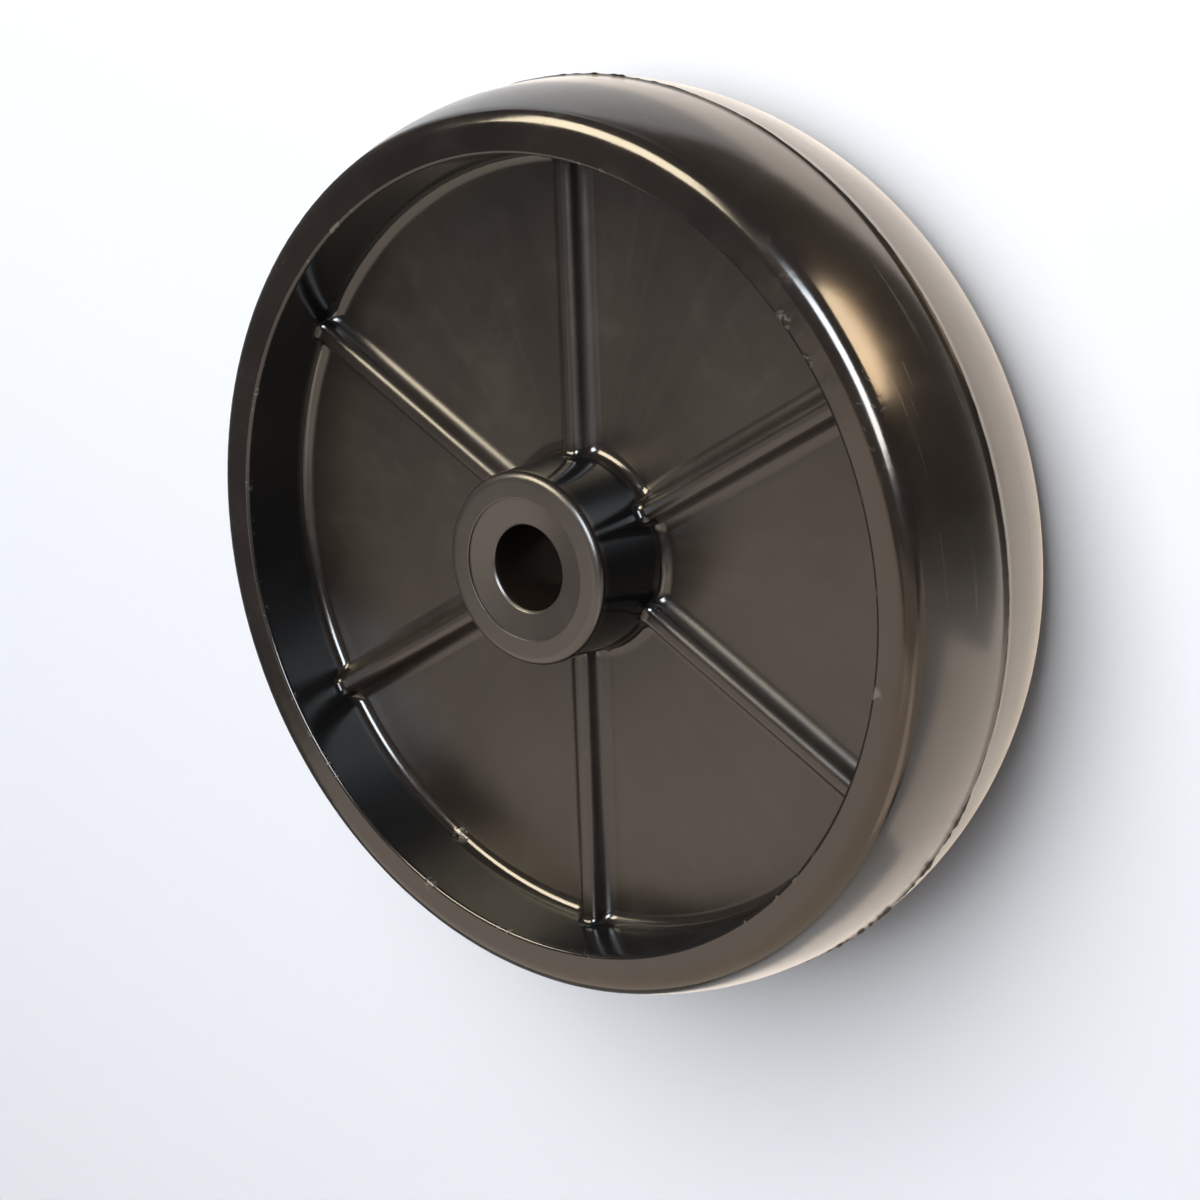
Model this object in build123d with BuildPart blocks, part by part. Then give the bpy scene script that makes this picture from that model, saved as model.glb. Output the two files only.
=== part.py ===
from build123d import *
import os
from math import radians, sqrt, tan

# Solid plastic wheel for industrial casters and carts, moulded in one piece.
# The axle runs along Z through the origin, halfway along the bore. The parting plane of the
# mould is Z = 0, and the wheel lies on one end of its hub.

# Sizes over the whole wheel
wheel_diameter = 203.2
tread_width = 50.8
hub_length = 55.56
bore_diameter = 19.05

# Tread, crowned by one arc, with the fine ridge that the mould leaves where its halves meet
crown_rise = 6.1
shoulder_bevel = 1.7
ridge_height = 0.3
ridge_width = 1.2

# Rim, seen as the flat ring round each side
rim_width = 8.2
rim_draft = 1.5
rim_mouth_bevel = 0.5

# Web, the plate that joins hub and rim
web_thickness = 13.0
rim_root_bevel = 2.8

# Hub
hub_diameter = 42.6
hub_draft = 1.0
hub_edge_bevel = 1.2
hub_root_bevel = 2.7

# Recess round the bore in each end of the hub, with a floor that dishes towards the bore
recess_diameter = 31.2
recess_depth = 0.5
dish_angle = 9.0
bore_chamfer = 0.4

# Ribs on each side of the web
rib_count = 6
rib_height = 4.4
rib_top_width = 4.6
rib_draft = 10.0
rib_top_radius = 1.6
rib_root_radius = 2.4

# Heights above the parting plane, and radii at those heights
web_top = web_thickness / 2
rim_face = tread_width / 2
hub_face = hub_length / 2
rib_top = web_top + rib_height
bore_radius = bore_diameter / 2
recess_radius = recess_diameter / 2
hub_radius = hub_diameter / 2
hub_foot_radius = hub_radius + (hub_face - web_top) * tan(radians(hub_draft))
crown = wheel_diameter / 2
shoulder = crown - crown_rise
rim_radius = shoulder - rim_width
rim_foot_radius = rim_radius - (rim_face - web_top) * tan(radians(rim_draft))

# The recess floor falls in a straight cone from the recess wall to the chamfer at the bore
recess_floor = hub_face - recess_depth
mouth_radius = bore_radius + bore_chamfer
dish_bottom = recess_floor - (recess_radius - mouth_radius) * tan(radians(dish_angle))
bore_end = dish_bottom - bore_chamfer

# The crown is an arc from shoulder to shoulder, centred on the parting plane
crown_arc_radius = (rim_face**2 + crown_rise**2) / (2 * crown_rise)
crown_arc_centre = crown - crown_arc_radius


def crown_radius(height):
    """Radius of the tread at a height above the parting plane."""
    return crown_arc_centre + sqrt(crown_arc_radius**2 - height**2)


# Corners of the half section, each with the bevel that the mould gives it
bevelled_corners = [
    ((hub_radius, hub_face), hub_edge_bevel),
    ((hub_foot_radius, web_top), hub_root_bevel),
    ((rim_foot_radius, web_top), rim_root_bevel),
    ((rim_radius, rim_face), rim_mouth_bevel),
    ((shoulder, rim_face), shoulder_bevel),
]

# One rib as a bar with rounded top edges, drafted sides and a foot that flares into the web, with
# both ends inside hub and rim
rib_base = web_top / 2
rib_foot_width = rib_top_width + 2 * rib_height * tan(radians(rib_draft))
rib_flare_width = rib_foot_width + 2 * rib_root_radius
rib_inner_end = (bore_radius + hub_radius) / 2
rib_outer_end = (rim_foot_radius + shoulder) / 2

with BuildPart() as rib:
    with BuildSketch(Plane.YZ.offset(rib_inner_end)) as rib_section:
        with BuildLine():
            Polyline(
                (-rib_flare_width / 2, rib_base),
                (rib_flare_width / 2, rib_base),
                (rib_flare_width / 2, web_top),
                (rib_foot_width / 2, web_top),
                (rib_top_width / 2, rib_top),
                (-rib_top_width / 2, rib_top),
                (-rib_foot_width / 2, web_top),
                (-rib_flare_width / 2, web_top),
                close=True,
            )
        make_face()
        fillet(rib_section.vertices().group_by(Axis.Y)[-1], rib_top_radius)
        rib_feet = rib_section.vertices().group_by(Axis.Y)[1].sort_by(Axis.X)[1:-1]
        fillet(rib_feet, rib_root_radius)
    extrude(amount=rib_outer_end - rib_inner_end)

with BuildPart() as wheel:
    # Half section of the wheel in front of the parting plane, drawn with sharp corners
    with BuildSketch(Plane.XZ) as half_section:
        with BuildLine():
            Polyline(
                (crown + ridge_height, 0),
                (bore_radius, 0),
                (bore_radius, bore_end),
                (mouth_radius, dish_bottom),
                (recess_radius, recess_floor),
                (recess_radius, hub_face),
                (hub_radius, hub_face),
                (hub_foot_radius, web_top),
                (rim_foot_radius, web_top),
                (rim_radius, rim_face),
                (shoulder, rim_face),
            )
            tread = RadiusArc(
                (shoulder, rim_face),
                (crown_radius(ridge_width / 2), ridge_width / 2),
                crown_arc_radius,
            )
            Line(tread @ 1, (crown + ridge_height, 0))
        make_face()
        for corner, length in bevelled_corners:
            chamfer(half_section.vertices().sort_by_distance(corner)[0], length)
    revolve(axis=Axis.Z)

    # The ribs run from the hub to the rim
    with PolarLocations(0, rib_count):
        add(rib.part)

    # The back of the wheel is the front again
    mirror(about=Plane.XY)

wheel.part.label = "wheel"
os.makedirs("parts", exist_ok=True)
export_step(wheel.part, "parts/wheel.step")
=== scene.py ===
from math import asin, atan2, cos, pi, radians, sin, sqrt, tan

import bpy
from mathutils import Matrix, Vector, noise


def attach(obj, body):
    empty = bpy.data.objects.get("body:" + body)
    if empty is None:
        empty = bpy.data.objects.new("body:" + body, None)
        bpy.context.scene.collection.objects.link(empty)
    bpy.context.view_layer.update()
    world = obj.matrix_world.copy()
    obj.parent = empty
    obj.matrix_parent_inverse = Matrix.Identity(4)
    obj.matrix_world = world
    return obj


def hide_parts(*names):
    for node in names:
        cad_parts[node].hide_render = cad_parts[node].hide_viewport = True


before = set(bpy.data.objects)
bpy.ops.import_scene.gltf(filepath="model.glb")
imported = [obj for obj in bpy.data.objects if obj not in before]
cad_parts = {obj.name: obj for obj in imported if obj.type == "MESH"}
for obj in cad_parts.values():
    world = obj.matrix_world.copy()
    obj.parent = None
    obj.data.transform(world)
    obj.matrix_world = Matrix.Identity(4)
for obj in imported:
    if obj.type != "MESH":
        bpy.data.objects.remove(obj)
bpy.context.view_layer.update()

MM = 0.001


# The wheel
# One injection-moulded piece of glossy dark brown-black plastic: crowned tread, flat rim rings, dished
# and ribbed web, and a hub with a plain bore. Its two mould halves meet on Z = 0.

# Sizes in millimetres. Radii run from the axle's line and heights from the parting plane.
WHEEL_R = 101.6
SHOULDER_R = 95.5
SHOULDER_FILLET = 5.0
RIM_R = 87.3
RIM_FACE = 25.4
RIM_EDGE_FILLET = 0.8
RIM_ROOT_FILLET = 2.8
RIM_DRAFT = tan(radians(1.5))
WEB_TOP = 6.5
HUB_R = 21.3
HUB_FACE = 27.78
HUB_EDGE_FILLET = 2.0
HUB_ROOT_FILLET = 2.7
HUB_DRAFT = tan(radians(1.0))
RECESS_R = 15.6
RECESS_DEPTH = 0.5
RECESS_EDGE_FILLET = 0.15
RECESS_SLOPE = tan(radians(9.0))
BORE_R = 9.525
BORE_CHAMFER = 0.4
RIDGE_WIDTH = 1.2
RIDGE_HEIGHT = 0.3
RIB_TOP = 10.9
RIB_HALF_TOP = 2.0
RIB_HALF_FOOT = 3.25
RIB_HALF_REACH = 6.0
RIB_EDGE_FILLET = 2.0
RIB_FOOT_FILLET = 3.2
RIB_END_FILLET = 1.8

# Fineness of the mesh: arcs round the shoulder and over the crown, columns from a rib's side to the
# pocket's middle, and the space that keeps the shading flat beside an arc
SHOULDER_STEPS = 12
CROWN_STEPS = 16
FAN = 11
HOLD = 0.25
HALF_POCKET = radians(30)
MERGE = 0.01 * MM
SMOOTH_ANGLE = radians(38)

# Between these radii the columns turn from even spacing round the bore to lines along the ribs
EVEN_R = 11.0
EVEN_FADE = 9.0

# Flash: steps round the wheel, the ring's foot, its half thickness at foot and edge, its least height
# and how much that varies, and the places where it is highest as degrees, spread in degrees and height
FLASH_STEPS = 960
FLASH_ROOT_R = 101.2
FLASH_HALF_ROOT = 0.22
FLASH_HALF_EDGE = 0.11
FLASH_HEIGHT = 0.26
FLASH_SWING = 0.10
FLASH_WAVER = 0.05
FLASH_PATCHES = ((111.5, 20, 0.42), (-123.0, 8, 0.25), (30.0, 9, 0.30))

# Scuffs and burrs on the rim's inner edge and one in its root, as x, y, z and radius
CHIPS = (
    (-86.1, -17.1, 25.2, 2.6),
    (-87.0, -7.7, 25.2, 1.9),
    (-68.4, 55.1, 25.2, 2.4),
    (70.3, 52.1, 25.2, 2.2),
    (73.0, 44.6, 7.6, 2.8),
)

# Colours of the plastic, dark and light in broad clouds, and of what marks it
DARK = (0.0125, 0.0085, 0.0060, 1)
LIGHT = (0.0185, 0.0129, 0.0093, 1)
FLOW_COLOUR = (0.034, 0.027, 0.0215, 1)
HUB_COLOUR = (0.042, 0.034, 0.027, 1)
# Painted shade: the inner walls of rim and hub are coloured darker and bluish than the rest of the plastic
WALL_SHADE_COLOUR = (0.0075, 0.0082, 0.0090, 1)
DUST_COLOUR = (0.075, 0.063, 0.052, 1)
WEAR_COLOUR = (0.20, 0.175, 0.15, 1)
CHIP_COLOUR = (0.17, 0.15, 0.125, 1)
RUB_COLOUR = (0.16, 0.14, 0.12, 1)
PARTING_COLOUR = (0.006, 0.005, 0.0045, 1)
WHITE = (1, 1, 1, 1)
WARM_GLOSS = (1.0, 0.89, 0.79, 1)
HAZE_COLOUR = (1.0, 0.84, 0.70, 1)

RIM_ROUGH = 0.155
WEB_ROUGH = 0.33
HUB_ROUGH = 0.30
TREAD_ROUGH = 0.20
GLOSS = 0.5
WALL_GLOSS = 0.25
PLASTIC_IOR = 1.7
RELIEF_DEPTH = 1.2


def straight(a, b, inner):
    """Points between a and b, without either, with one close to each end so that shading stays flat."""
    length = sqrt((b[0] - a[0]) ** 2 + (b[1] - a[1]) ** 2)
    hold = min(HOLD / length, 0.3)
    shares = [hold]
    shares += [hold + (1 - 2 * hold) * (i + 1) / (inner + 1) for i in range(inner)]
    shares += [1 - hold]
    return [(a[0] + (b[0] - a[0]) * s, a[1] + (b[1] - a[1]) * s) for s in shares]


def rounded(corners):
    """Outline through corners of (x, y, radius, steps of the arc, points in the run that follows)."""
    ends = []
    for i, (x, y, radius, steps, _) in enumerate(corners):
        here = Vector((x, y))
        if not radius:
            ends.append([here])
            continue
        before = (Vector(corners[i - 1][:2]) - here).normalized()
        after = (Vector(corners[i + 1][:2]) - here).normalized()
        half = before.angle(after) / 2
        centre = here + (before + after).normalized() * radius / sin(half)
        first = here + before * radius / tan(half) - centre
        last = here + after * radius / tan(half) - centre
        sweep = first.angle(last)
        arc = []
        for k in range(steps + 1):
            share = k / steps
            spoke = first * sin((1 - share) * sweep) + last * sin(share * sweep)
            arc.append(centre + spoke / sin(sweep))
        ends.append(arc)
    points = []
    for i, arc in enumerate(ends):
        points += [tuple(p) for p in arc]
        if i + 1 < len(ends):
            points += straight(arc[-1], ends[i + 1][0], corners[i][4])
    return points


def hub_wall(height):
    """Radius of the hub's wall at that height."""
    return HUB_R + (HUB_FACE - height) * HUB_DRAFT


def rim_wall(height):
    """Radius of the rim's inner wall at that height."""
    return RIM_R - (RIM_FACE - height) * RIM_DRAFT


def half_section(floor_height, hub_root, rim_root):
    """Half outline from the bore's middle round to the shoulder, with the pocket's floor at a height."""
    mouth = BORE_R + BORE_CHAMFER
    dish_end = HUB_FACE - RECESS_DEPTH - (RECESS_R - mouth) * RECESS_SLOPE
    return rounded([
        (BORE_R, 0.0, 0, 0, 2),
        (BORE_R, dish_end - BORE_CHAMFER, 0, 0, 0),
        (mouth, dish_end, 0, 0, 2),
        (RECESS_R, HUB_FACE - RECESS_DEPTH, 0, 0, 0),
        (RECESS_R, HUB_FACE, RECESS_EDGE_FILLET, 3, 1),
        (HUB_R, HUB_FACE, HUB_EDGE_FILLET, 7, 3),
        (hub_wall(floor_height), floor_height, hub_root, 8, 8),
        (rim_wall(floor_height), floor_height, rim_root, 8, 3),
        (RIM_R, RIM_FACE, RIM_EDGE_FILLET, 5, 2),
        (shoulder_x, RIM_FACE, 0, 0, 0),
    ])[:-1]


def tread_points():
    """The shoulder that rounds the rim's face into the crown, the crown's arc and the mould's ridge."""
    points = []
    for k in range(SHOULDER_STEPS + 1):
        a = pi / 2 + (crown_tilt - pi / 2) * k / SHOULDER_STEPS
        points.append((shoulder_x + SHOULDER_FILLET * cos(a), shoulder_z + SHOULDER_FILLET * sin(a)))
    ridge_tilt = asin(RIDGE_WIDTH / 2 / crown_r)
    for k in range(1, CROWN_STEPS + 1):
        a = crown_tilt + (ridge_tilt - crown_tilt) * k / CROWN_STEPS
        points.append((crown_x + crown_r * cos(a), crown_r * sin(a)))
    points.append((WHEEL_R + RIDGE_HEIGHT * 0.8, RIDGE_WIDTH * 0.22))
    points.append((WHEEL_R + RIDGE_HEIGHT, 0.0))
    return points


def select_only(made):
    """Makes one object the only selected one and the active one."""
    bpy.ops.object.select_all(action="DESELECT")
    made.select_set(True)
    bpy.context.view_layer.objects.active = made


def add_object(name, mesh):
    """New object in the scene that holds a mesh, selected by itself."""
    made = bpy.data.objects.new(name, mesh)
    bpy.context.scene.collection.objects.link(made)
    select_only(made)
    return made


def mirror_over(made, name, axes):
    """Mirrors an object's mesh over its own planes and joins it there."""
    mirror = made.modifiers.new(name, "MIRROR")
    mirror.use_axis = axes
    mirror.merge_threshold = MERGE
    bpy.ops.object.modifier_apply(modifier=name)


# The crown's arc, and the centre of the shoulder's arc inside it
crown_rise = WHEEL_R - SHOULDER_R
crown_r = (RIM_FACE ** 2 + crown_rise ** 2) / (2 * crown_rise)
crown_x = WHEEL_R - crown_r
shoulder_z = RIM_FACE - SHOULDER_FILLET
shoulder_x = crown_x + sqrt((crown_r - SHOULDER_FILLET) ** 2 - shoulder_z ** 2)
crown_tilt = atan2(shoulder_z, shoulder_x - crown_x)

# Two outlines with the same points, one through the web and one along the top of a rib
tread = tread_points()
web_line = half_section(WEB_TOP, HUB_ROOT_FILLET, RIM_ROOT_FILLET) + tread
rib_line = half_section(RIB_TOP, RIB_END_FILLET, RIB_END_FILLET) + tread

# Columns of the mesh run along the rib, first across it at these distances, then fanned to the
# pocket's middle
rib_profile = rounded([
    (0.0, RIB_TOP, 0, 0, 1),
    (RIB_HALF_TOP, RIB_TOP, RIB_EDGE_FILLET, 7, 0),
    (RIB_HALF_FOOT, WEB_TOP, RIB_FOOT_FILLET, 8, 0),
    (RIB_HALF_REACH, WEB_TOP, 0, 0, 0),
])
last_column = len(rib_profile) + FAN - 1

# Half of one sixth of the front: the outline spun through 30 degrees
mesh = bpy.data.meshes.new("wheel_body")
edges = [(i, i + 1) for i in range(len(web_line) - 1)]
mesh.from_pydata([(r * MM, 0.0, z * MM) for r, z in web_line], edges, [])
wheel = add_object("wheel_body", mesh)
bpy.ops.object.mode_set(mode="EDIT")
bpy.ops.mesh.select_all(action="SELECT")
bpy.ops.mesh.spin(steps=last_column, angle=HALF_POCKET, center=(0, 0, 0), axis=(0, 0, 1))
bpy.ops.object.mode_set(mode="OBJECT")

# Each point moves to its place between the web's outline and the rib's
turn = 1 if max(v.co.y for v in mesh.vertices) > MM else -1
for vertex in mesh.vertices:
    x, y, z = vertex.co / MM
    column = round(atan2(turn * y, x) / HALF_POCKET * last_column)
    r = sqrt(x * x + y * y)
    i = min(range(len(web_line)), key=lambda k: abs(web_line[k][0] - r) + abs(web_line[k][1] - z))
    offset, level = rib_profile[min(column, len(rib_profile) - 1)]
    share = (level - WEB_TOP) / (RIB_TOP - WEB_TOP)
    r = web_line[i][0] + (rib_line[i][0] - web_line[i][0]) * share
    z = web_line[i][1] + (rib_line[i][1] - web_line[i][1]) * share
    angle = asin(min(1.0, offset / r))
    angle += (HALF_POCKET - angle) * max(0, column - len(rib_profile) + 1) / FAN
    even = HALF_POCKET * column / last_column
    angle = even + (angle - even) * max(0.0, min(1.0, (r - EVEN_R) / EVEN_FADE))
    vertex.co = Vector((r * cos(angle), r * sin(angle), z)) * MM

# Mirrored over the rib, turned round six times and mirrored to the back
mirror_over(wheel, "half_pocket", (False, True, False))
bpy.ops.object.mode_set(mode="EDIT")
bpy.ops.mesh.select_all(action="SELECT")
bpy.ops.mesh.spin(steps=6, angle=radians(360), center=(0, 0, 0), axis=(0, 0, 1), dupli=True)
bpy.ops.mesh.select_all(action="SELECT")
bpy.ops.mesh.remove_doubles(threshold=MERGE)
bpy.ops.object.mode_set(mode="OBJECT")
mirror_over(wheel, "back", (False, False, True))
bpy.ops.object.mode_set(mode="EDIT")
bpy.ops.mesh.select_all(action="SELECT")
bpy.ops.mesh.remove_doubles(threshold=MERGE)
bpy.ops.mesh.normals_make_consistent(inside=False)
bpy.ops.object.mode_set(mode="OBJECT")
bpy.ops.object.shade_smooth_by_angle(angle=SMOOTH_ANGLE)

# Flash where the mould halves met: a thin ring of ragged height on the ridge
flash_mesh = bpy.data.meshes.new("wheel_flash")
flash_section = [
    (FLASH_ROOT_R * MM, 0, -FLASH_HALF_ROOT * MM),
    (WHEEL_R * MM, 0, -FLASH_HALF_EDGE * MM),
    (WHEEL_R * MM, 0, FLASH_HALF_EDGE * MM),
    (FLASH_ROOT_R * MM, 0, FLASH_HALF_ROOT * MM),
]
flash_mesh.from_pydata(flash_section, [(0, 1), (1, 2), (2, 3), (3, 0)], [])
flash = add_object("wheel_flash", flash_mesh)
bpy.ops.object.mode_set(mode="EDIT")
bpy.ops.mesh.select_all(action="SELECT")
bpy.ops.mesh.spin(steps=FLASH_STEPS, angle=radians(360), center=(0, 0, 0), axis=(0, 0, 1))
bpy.ops.mesh.select_all(action="SELECT")
bpy.ops.mesh.remove_doubles(threshold=MERGE)
bpy.ops.mesh.normals_make_consistent(inside=False)
bpy.ops.object.mode_set(mode="OBJECT")
for vertex in flash_mesh.vertices:
    x, y, z = vertex.co
    if sqrt(x * x + y * y) < 0.5 * (FLASH_ROOT_R + WHEEL_R) * MM:
        continue
    a = atan2(y, x)
    ragged = 0.5 + noise.noise(Vector((cos(a) * 14, sin(a) * 14, 3.0)))
    ragged += noise.noise(Vector((cos(a) * 60, sin(a) * 60, 9.0)))
    ragged = max(0.0, ragged)
    rise = FLASH_HEIGHT + FLASH_SWING * ragged
    for middle, spread, patch_rise in FLASH_PATCHES:
        off = (a - radians(middle) + pi) % (2 * pi) - pi
        rise += patch_rise * ragged * max(0.0, 1 - (off / radians(spread)) ** 2)
    r = (WHEEL_R + rise) * MM
    waver = noise.noise(Vector((cos(a) * 30, sin(a) * 30, 21.0)))
    vertex.co = (r * cos(a), r * sin(a), z + FLASH_WAVER * MM * waver)
bpy.ops.object.shade_smooth_by_angle(angle=SMOOTH_ANGLE)

# The flash is part of the same moulding
select_only(wheel)
flash.select_set(True)
bpy.ops.object.join()

# Glossy dark plastic: smoother on rim, hub and tread, duller on the web, less glossy on the walls and
# painted darker and bluish there as shade, with smudges, drag lines from handling, a fine grain and a pale
# haze on the tread
material = bpy.data.materials.new("wheel_plastic")
material.use_nodes = True
tree = material.node_tree
shader = tree.nodes["Principled BSDF"]


def feed(socket, value):
    """Sets a shader socket to a value, or links it to another node's output."""
    if isinstance(value, bpy.types.NodeSocket):
        tree.links.new(value, socket)
    else:
        socket.default_value = value


def add_node(kind, sockets, **settings):
    """First output of a new shader node, with its settings and what its sockets are fed."""
    made = tree.nodes.new("ShaderNode" + kind)
    for name, value in settings.items():
        setattr(made, name, value)
    for key, value in sockets.items():
        feed(made.inputs[key], value)
    return made.outputs[0]


def calc(operation, a, b=0.0):
    """Result of one sum."""
    return add_node("Math", {0: a, 1: b}, operation=operation)


def both(a, b):
    """Share where both masks hold."""
    return calc("MULTIPLY", a, b)


def step(value, low, high):
    """0 below low and 1 above high, or the reverse where low is above high, smooth between them."""
    ends = {0: value, 1: min(low, high), 2: max(low, high), 3: float(low > high), 4: float(low < high)}
    return add_node("MapRange", ends, interpolation_type="SMOOTHSTEP")


def step_mm(value, low, high):
    """The same step over a length, with its ends in millimetres."""
    return step(value, low * MM, high * MM)


def near_radius(radius, outer, inner):
    """1 within the inner distance of a radius and 0 beyond the outer one, in millimetres."""
    away = calc("ABSOLUTE", calc("SUBTRACT", from_axis, radius * MM))
    return step_mm(away, outer, inner)


def cloud(where, scale, detail, roughness=0.55):
    """Even noise from 0 to 1 at that scale."""
    sockets = {"Vector": where, "Scale": scale, "Detail": detail, "Roughness": roughness}
    return add_node("TexNoise", sockets)


def blend(share, a, b):
    """Number between a and b by the share of b."""
    return add_node("Mix", {0: share, 2: a, 3: b}, data_type="FLOAT")


def tint(share, a, b):
    """Colour between a and b by the share of b."""
    made = tree.nodes.new("ShaderNodeMix")
    made.data_type = "RGBA"
    for key, value in ((0, share), (6, a), (7, b)):
        feed(made.inputs[key], value)
    return made.outputs[2]


def weaken(share, factor):
    """Mask scaled down."""
    return calc("MULTIPLY", share, factor)


# Where a point lies: from the axle's line, from the parting plane, and round the wheel
place = tree.nodes.new("ShaderNodeTexCoord").outputs["Object"]
split = tree.nodes.new("ShaderNodeSeparateXYZ")
tree.links.new(place, split.inputs[0])
x_in, y_in, z_in = split.outputs
from_axis = calc("SQRT", calc("ADD", calc("MULTIPLY", x_in, x_in), calc("MULTIPLY", y_in, y_in)))
from_parting = calc("ABSOLUTE", z_in)
round_axis = calc("ARCTAN2", y_in, x_in)

# Masks for the parts of the wheel
on_tread = both(step_mm(from_axis, 94.5, 97.5), step_mm(from_parting, 22.5, 18.5))
web_ring = both(step_mm(from_axis, 22.5, 26.0), step_mm(from_axis, 86.5, 83.0))
on_web = both(web_ring, step_mm(from_parting, 14.0, 10.0))
on_hub_face = both(step_mm(from_axis, 21.5, 20.5), step_mm(from_parting, 24.5, 26.2))
rim_edge = both(near_radius(RIM_R, 1.1, 0.3), step_mm(from_parting, 23.5, 24.8))
hub_edge = both(near_radius(20.6, 1.2, 0.4), step_mm(from_parting, 25.5, 26.8))
shoulder_edge = both(step_mm(from_axis, 91.5, 93.5), step_mm(from_parting, 19.5, 22.5))
at_parting = both(on_tread, step_mm(from_parting, 1.1, 0.3))
low_side = calc("ADD", calc("MULTIPLY", x_in, -0.549), calc("MULTIPLY", y_in, 0.836))
low_shoulder = both(step_mm(from_axis, 90.5, 94.0), step_mm(low_side, 30.0, 65.0))
# Inner walls of rim and hub, where shade is painted into the colour and the gloss is lower
walls = calc("ADD", near_radius(87.1, 1.2, 0.6), near_radius(21.5, 1.2, 0.6))
on_wall = both(walls, both(step_mm(from_parting, 8.5, 10.5), step_mm(from_parting, 25.8, 24.5)))

# Coordinates unrolled round the wheel, for rubbed lines that run round it and drag lines that run
# outward
unrolled = add_node("CombineXYZ", {0: calc("MULTIPLY", round_axis, 0.1), 1: from_axis, 2: z_in})
round_marks = add_node("VectorMath", {0: unrolled, 1: (6.0, 90.0, 240.0)}, operation="MULTIPLY")
outward = add_node("VectorMath", {0: unrolled, 1: (220.0, 9.0, 60.0)}, operation="MULTIPLY")

# Masks for what marks the surface
broad = cloud(place, 22.0, 2.0)
smudge = cloud(place, 75.0, 3.0, 0.62)
grain = cloud(place, 2600.0, 0.0)
rub_lines = cloud(round_marks, 4.0, 2.0, 0.7)
flow = cloud(outward, 1.0, 1.0, 0.6)
nicks = both(step(cloud(place, 330.0, 2.0, 0.7), 0.60, 0.67), step(broad, 0.50, 0.60))
edge = calc("ADD", calc("ADD", rim_edge, hub_edge), weaken(shoulder_edge, 0.15))
wear = both(calc("MINIMUM", edge, 1.0), nicks)
rubbed = both(on_tread, step(rub_lines, 0.60, 0.78))
dust = weaken(step(smudge, 0.52, 0.75), 0.35)
chips = None
for x, y, z, r in CHIPS:
    distance = tree.nodes.new("ShaderNodeVectorMath")
    distance.operation = "DISTANCE"
    tree.links.new(place, distance.inputs[0])
    distance.inputs[1].default_value = (x * MM, y * MM, z * MM)
    near = step_mm(distance.outputs["Value"], r, 0.3 * r)
    chips = near if chips is None else calc("MAXIMUM", chips, near)
chips = both(chips, step(cloud(place, 700.0, 1.0, 0.6), 0.44, 0.56))

colour = tint(step(broad, 0.35, 0.68), DARK, LIGHT)
for share, mark_colour in (
    (both(step(flow, 0.50, 0.72), weaken(on_web, 0.15)), FLOW_COLOUR),
    (weaken(on_hub_face, 0.8), HUB_COLOUR),
    # painted shade on the inner walls of rim and hub
    (on_wall, WALL_SHADE_COLOUR),
    (weaken(dust, 0.25), DUST_COLOUR),
    (weaken(wear, 0.55), WEAR_COLOUR),
    (weaken(chips, 0.5), CHIP_COLOUR),
    (weaken(rubbed, 0.14), RUB_COLOUR),
    (weaken(at_parting, 0.7), PARTING_COLOUR),
):
    colour = tint(share, colour, mark_colour)

rough = blend(on_web, RIM_ROUGH, WEB_ROUGH)
rough = blend(on_hub_face, rough, HUB_ROUGH)
rough = blend(on_tread, rough, TREAD_ROUGH)
for mark, strength in (
    (calc("SUBTRACT", smudge, 0.5), 0.16),
    (calc("SUBTRACT", broad, 0.5), 0.10),
    (wear, 0.25),
    (rubbed, 0.10),
):
    rough = calc("ADD", rough, calc("MULTIPLY", mark, strength))

relief = calc("MULTIPLY", broad, 0.55)
for mark, strength in ((smudge, 0.06), (grain, 0.0022), (wear, -0.05), (chips, 0.10)):
    relief = calc("ADD", relief, calc("MULTIPLY", mark, strength))
bump = add_node("Bump", {"Height": relief, "Strength": 0.7, "Distance": RELIEF_DEPTH * MM})

feed(shader.inputs["Base Color"], colour)
feed(shader.inputs["Roughness"], rough)
feed(shader.inputs["Normal"], bump)
feed(shader.inputs["IOR"], PLASTIC_IOR)
feed(shader.inputs["Specular IOR Level"], blend(on_wall, GLOSS, WALL_GLOSS))
feed(shader.inputs["Specular Tint"], tint(calc("MAXIMUM", on_tread, low_shoulder), WHITE, WARM_GLOSS))
feed(shader.inputs["Sheen Weight"], weaken(on_tread, 0.25))
feed(shader.inputs["Sheen Roughness"], 0.35)
feed(shader.inputs["Sheen Tint"], HAZE_COLOUR)
wheel.data.materials.append(material)

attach(wheel, "root")
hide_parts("wheel")


# Camera
# Looks down on the wheel from where the photo shows it: a 72.6 mm lens about half a metre away.

camera_data = bpy.data.cameras.new("camera")
camera_data.sensor_width = 36.0
camera_data.lens = 72.6
camera_data.clip_start = 0.02
camera_data.clip_end = 20.0
camera = bpy.data.objects.new("camera", camera_data)
bpy.context.scene.collection.objects.link(camera)
right = Vector((-0.656255, 0.417442, -0.628547))
up = Vector((-0.360257, -0.905288, -0.225099))
back = right.cross(up).normalized()
camera.location = Vector((-0.350543, 0.053286, 0.402966))
camera.rotation_mode = "QUATERNION"
camera.rotation_quaternion = Matrix((right, up, back)).transposed().to_quaternion()
bpy.context.scene.camera = camera


# Floor
# Plain pale floor that the wheel lies on with one end of its hub.

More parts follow.
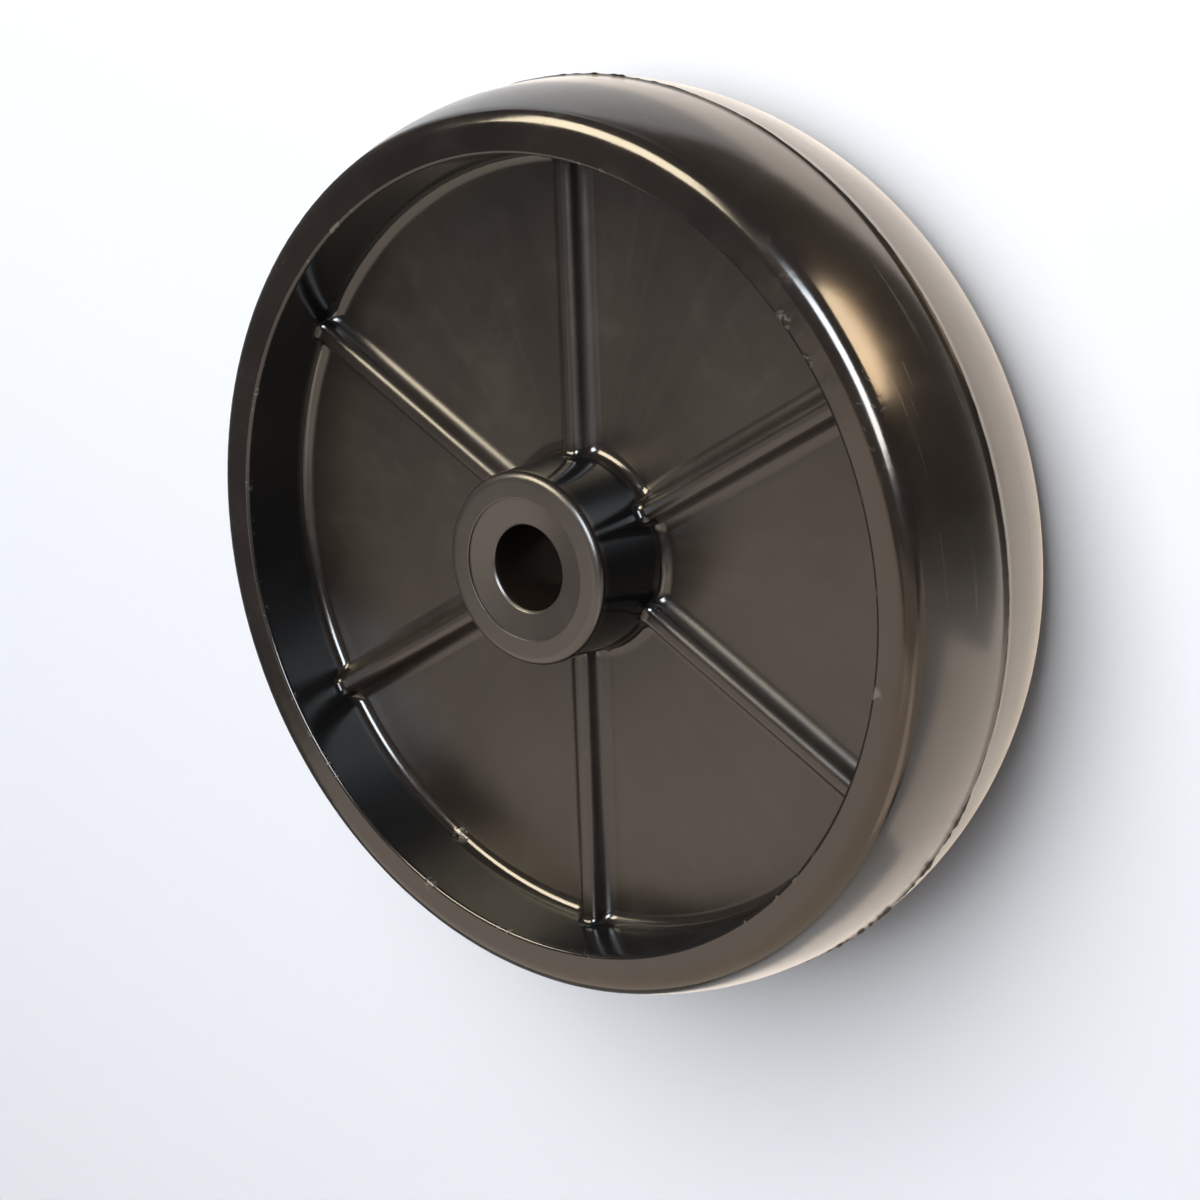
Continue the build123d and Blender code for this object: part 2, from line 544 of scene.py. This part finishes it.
bpy.ops.object.select_all(action="DESELECT")
bpy.ops.mesh.primitive_circle_add(
    vertices=96, radius=0.62, fill_type="NGON", location=(0.04, 0.0, -HUB_FACE * MM)
)
floor = bpy.context.active_object
floor.name = "floor"
floor_material = bpy.data.materials.new("floor")
floor_material.use_nodes = True
paint = floor_material.node_tree.nodes["Principled BSDF"]
paint.inputs["Base Color"].default_value = (0.80, 0.82, 0.86, 1)
paint.inputs["Roughness"].default_value = 0.7
floor.data.materials.append(floor_material)


# Studio light
# One broad lamp lights floor and wheel. The windows and walls of warm or bluish light show only in the
# wheel's gloss, and so do two pools of light over the floor and two matt cards round the wheel.

LAMP_DISTANCE = 1.5
OVERHEAD_DISTANCE = 1.6
GLOW_HEIGHT = -0.027
CARD_HEIGHT = -0.0265
CARD_OUTER = 0.7
PICTURE_TOP = -111.7


def aim(to_right, to_up, to_back, distance=LAMP_DISTANCE):
    """Place at a distance from the wheel, in a direction given as right, up and back in the picture."""
    return (right * to_right + up * to_up + back * to_back).normalized() * distance


def light(name, start, end, width, radiance, colour, glossy=True, diffuse=True):
    """A soft bar of light between two places, facing the wheel, that the camera doesn't see."""
    data = bpy.data.lights.new(name, "AREA")
    data.shape = "RECTANGLE"
    data.size = (end - start).length
    data.size_y = width
    data.energy = radiance * pi * data.size * width
    data.color = colour
    lamp = bpy.data.objects.new(name, data)
    bpy.context.scene.collection.objects.link(lamp)
    centre = (start + end) / 2
    z = centre.normalized()
    x = end - start
    x = (x - z * x.dot(z)).normalized()
    lamp.location = centre
    lamp.rotation_mode = "QUATERNION"
    lamp.rotation_quaternion = Matrix((x, z.cross(x), z)).transposed().to_quaternion()
    lamp.visible_camera = False
    lamp.visible_glossy = glossy
    lamp.visible_diffuse = diffuse
    return lamp


def gloss_light(name, start, end, width, radiance, colour):
    """A bar of light that shows only in reflections."""
    return light(name, start, end, width, radiance, colour, diffuse=False)


def card(name, edge):
    """Matt card flat over the floor that only reflections show. Its inner edge runs through points given
    as degrees clockwise from the picture's top, millimetres from the axle's line and grey."""
    corners = []
    for outer in (None, CARD_OUTER):
        for degrees, inner, _ in edge:
            a = radians(PICTURE_TOP - degrees)
            r = outer or inner * MM
            corners.append((r * cos(a), r * sin(a), CARD_HEIGHT))
    count = len(edge)
    shape = bpy.data.meshes.new(name)
    shape.from_pydata(corners, [], [(i, i + 1, i + 1 + count, i + count) for i in range(count - 1)])
    greys = shape.attributes.new("grey", "FLOAT", "POINT")
    for i, value in enumerate(greys.data):
        value.value = edge[i % count][2]
    made = bpy.data.objects.new(name, shape)
    bpy.context.scene.collection.objects.link(made)
    paper = bpy.data.materials.new(name)
    paper.use_nodes = True
    read = paper.node_tree.nodes.new("ShaderNodeAttribute")
    read.attribute_name = "grey"
    matt = paper.node_tree.nodes["Principled BSDF"]
    paper.node_tree.links.new(read.outputs["Fac"], matt.inputs["Base Color"])
    matt.inputs["Roughness"].default_value = 0.9
    made.data.materials.append(paper)
    made.visible_camera = False
    made.visible_diffuse = False
    made.visible_shadow = False


gloss_light("top_window", aim(-0.80, 0.56, 0.12), aim(-0.58, 0.46, 0.66), 0.64, 13.5, (1.0, 0.86, 0.62))
gloss_light("front_window", aim(-0.20, 0.42, 0.88), aim(0.02, -0.03, 1.0), 0.56, 19.0, (0.86, 0.93, 1.0))

# The warm patch on the tread beside the shoulder's long highlight
side_glow = gloss_light(
    "side_glow", Vector((-0.192, -0.068, 0.0)), Vector((-0.203, 0.004, 0.0)), 0.034, 9.5, (1.0, 0.78, 0.52)
)
side_glow.data.shape = "ELLIPSE"

light(
    "overhead", aim(-0.50, 0.90, 0.62, OVERHEAD_DISTANCE), aim(-0.63, -0.30, 0.74, OVERHEAD_DISTANCE),
    1.3, 4.5, (0.985, 0.995, 1.0), glossy=False,
)
gloss_light("low_wall", aim(-0.97, -0.40, -0.10), aim(0.45, -0.85, 0.35), 1.6, 1.12, (1.0, 0.83, 0.67))
gloss_light("right_wall", aim(0.10, -0.80, 0.60), aim(0.86, -0.34, 0.40), 0.95, 0.9, (1.0, 0.86, 0.74))
gloss_light("low_fill", aim(-0.50, -0.48, 0.72), aim(0.35, -0.44, 0.83), 0.42, 0.55, (1.0, 0.86, 0.74))

# Glow on the floor that only the tread's reflections show, strongest under the rim
for name, x_mm, y_mm, reach_mm, radiance in (
    ("near_glow", 0, 0, 106, 0.75),
    ("far_glow", -28, 48, 165, 0.85),
):
    ends = [Vector((side * reach_mm * MM, 0.0, GLOW_HEIGHT)) for side in (-1, 1)]
    glow = gloss_light(name, ends[0], ends[1], 2 * reach_mm * MM, radiance, (1.0, 0.83, 0.66))
    glow.data.shape = "ELLIPSE"
    glow.location = (x_mm * MM, y_mm * MM, GLOW_HEIGHT)
    glow.rotation_quaternion = (0.0, 1.0, 0.0, 0.0)

card("right_card", [
    (-14, 240, 0.8), (-8, 225, 0.3), (8, 190, 0.02), (24, 156, 0.01), (40, 140, 0.01), (54, 124, 0.01),
    (75, 121, 0.01), (87, 122, 0.02), (94, 124, 0.15), (102, 126, 0.5), (109, 130, 0.8),
])
card("left_card", [
    (-216, 150, 0.8), (-195, 150, 0.8), (-180, 140, 0.5), (-167, 134, 0.15), (-130, 126, 0.14),
    (-100, 122, 0.08), (-80, 122, 0.05), (-55, 124, 0.03), (-42, 132, 0.05), (-35, 140, 0.6),
    (-31, 150, 0.8),
])

world = bpy.data.worlds.new("studio")
world.use_nodes = True
sky = world.node_tree.nodes["Background"]
sky.inputs["Color"].default_value = (0.75, 0.82, 0.95, 1)
sky.inputs["Strength"].default_value = 0.12
bpy.context.scene.world = world
bpy.context.scene.view_settings.view_transform = "Standard"
